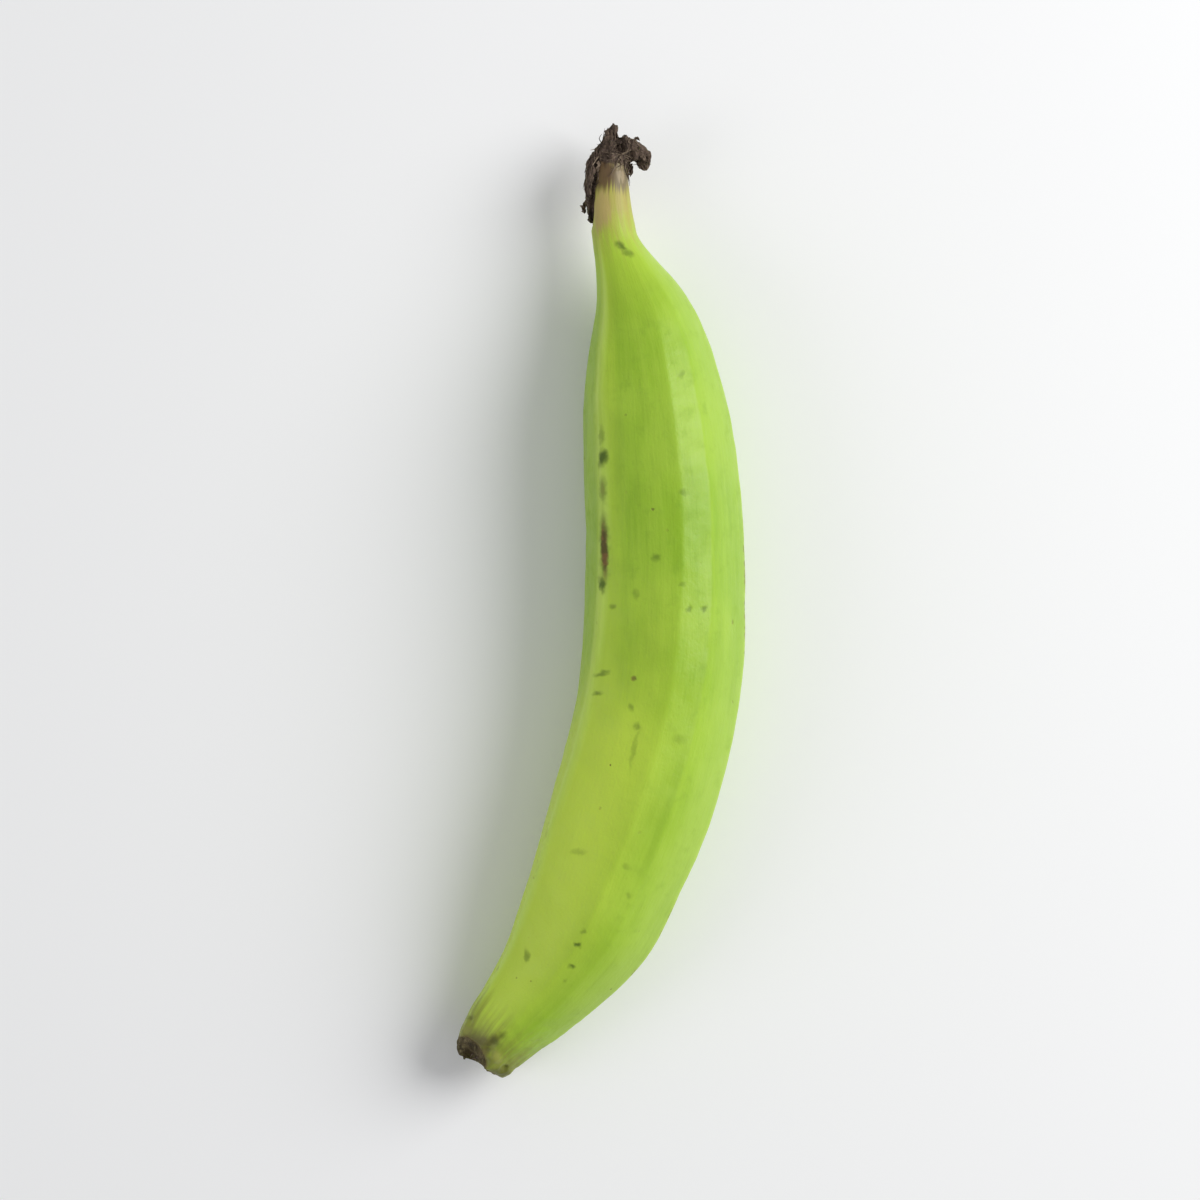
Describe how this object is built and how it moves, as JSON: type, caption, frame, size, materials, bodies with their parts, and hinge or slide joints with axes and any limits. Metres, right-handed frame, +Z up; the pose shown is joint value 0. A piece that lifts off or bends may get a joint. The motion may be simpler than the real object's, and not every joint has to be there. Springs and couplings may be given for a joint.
{
  "type": "plantain",
  "caption": "Green plantain as picked: a long curved fruit with flat-sided ridges, a narrow neck with a dried torn stem end and a blunt dried tip, lying on its side.",
  "frame": {"origin": "on the surface that the fruit lies on, under the middle of its bounding box", "axes": "+Z is up; +Y runs along the fruit's length towards the stem end; +X points to the outside of its curve, so the blunt tip bends towards -X"},
  "size_m": [0.091, 0.3, 0.0461],
  "materials": {
    "green_peel": "waxy, softly glossy green fruit peel, paler on the ridges and yellower at the neck",
    "dried_stem": "rough, fibrous, dark brown dried stem tissue",
    "dried_tip": "rough, brown dried blossom end"
  },
  "bodies": {
    "root": {"plantain": "green_peel"}
  },
  "joints": []
}
